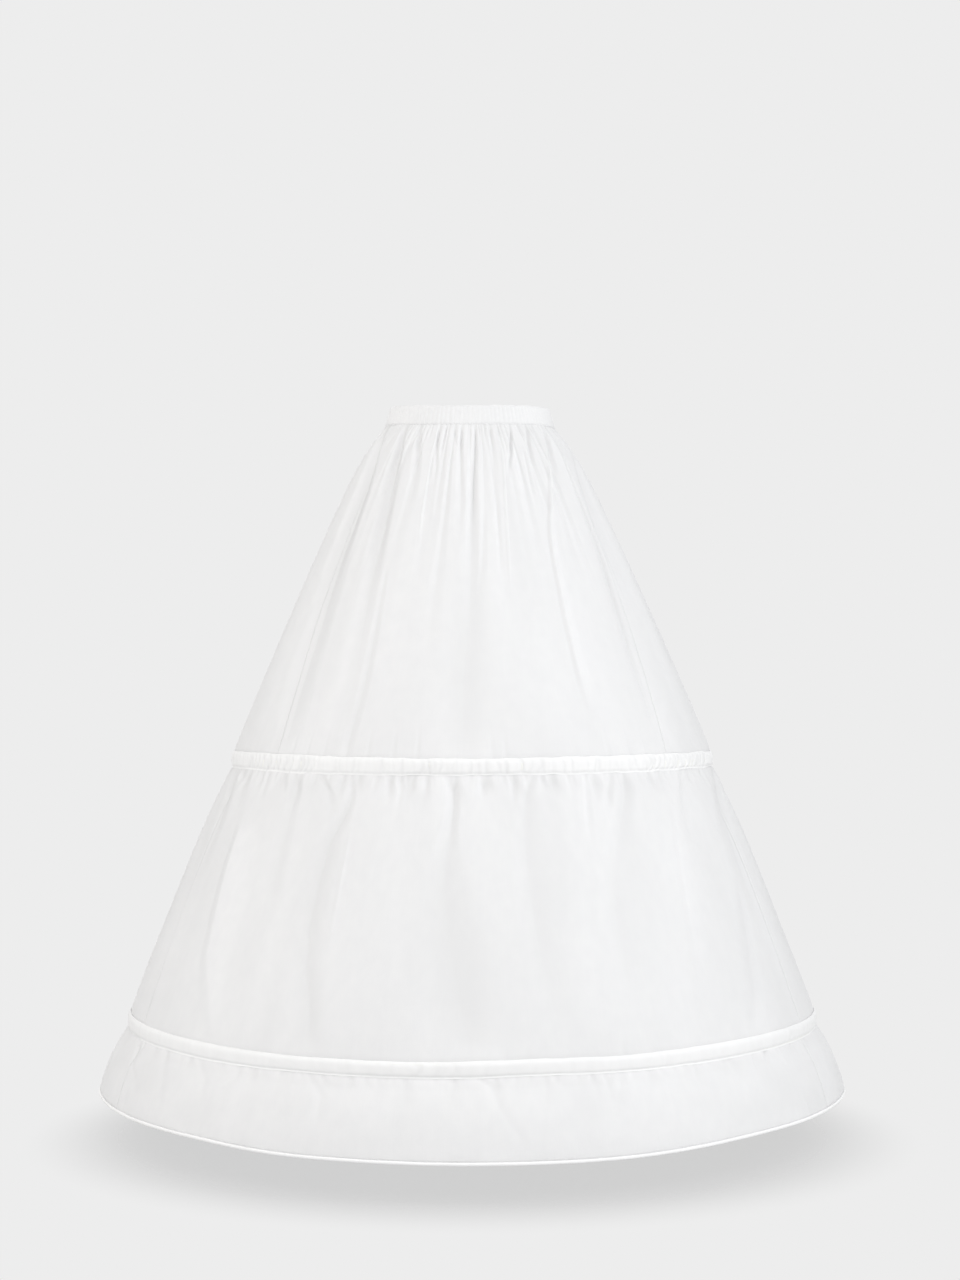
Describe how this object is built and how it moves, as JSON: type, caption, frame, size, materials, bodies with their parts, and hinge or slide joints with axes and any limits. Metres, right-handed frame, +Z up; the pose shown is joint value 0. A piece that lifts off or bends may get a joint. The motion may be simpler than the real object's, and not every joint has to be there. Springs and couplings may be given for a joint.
{
  "type": "two-hoop crinoline underskirt",
  "caption": "White gathered underskirt held out in a wide bell by flat hoops in sewn casings, with an elastic waistband and a stiff rolled hem.",
  "frame": {"origin": "centre of the waist opening, in the plane of the waistband's top edge", "axes": "+Z up along the skirt's axis out of the waist opening, -Y towards the front, +X towards the wearer's left"},
  "size_m": [1.1268, 1.127, 1.04],
  "materials": {
    "skirt_cloth": "crisp plain-woven white cloth, faintly sheer, with a soft sheen",
    "waistband_cloth": "white cloth drawn up by the elastic into fine upright ribs",
    "casing_tape": "doubled white tape, stitched along both edges",
    "hem_cloth": "white cloth rolled tight and stitched",
    "elastic_webbing": "flat woven white elastic",
    "hoop_strip": "flat spring steel in a thick white plastic coat",
    "joiner_sleeve": "thin pressed metal sleeve",
    "hem_line_nylon": "clear single-strand nylon line"
  },
  "bodies": {
    "root": {"waistband_casing": "waistband_cloth", "waist_elastic": "elastic_webbing", "upper_front_panel": "skirt_cloth", "upper_back_left_panel": "skirt_cloth", "upper_back_right_panel": "skirt_cloth", "mid_casing": "casing_tape", "mid_hoop": "hoop_strip", "mid_hoop_joiner": "joiner_sleeve", "lower_front_panel": "skirt_cloth", "lower_back_left_panel": "skirt_cloth", "lower_back_right_panel": "skirt_cloth", "lower_casing": "casing_tape", "lower_hoop": "hoop_strip", "lower_hoop_joiner": "joiner_sleeve", "flounce_front_panel": "skirt_cloth", "flounce_back_left_panel": "skirt_cloth", "flounce_back_right_panel": "skirt_cloth", "rolled_hem": "hem_cloth", "hem_line": "hem_line_nylon"}
  },
  "joints": []
}
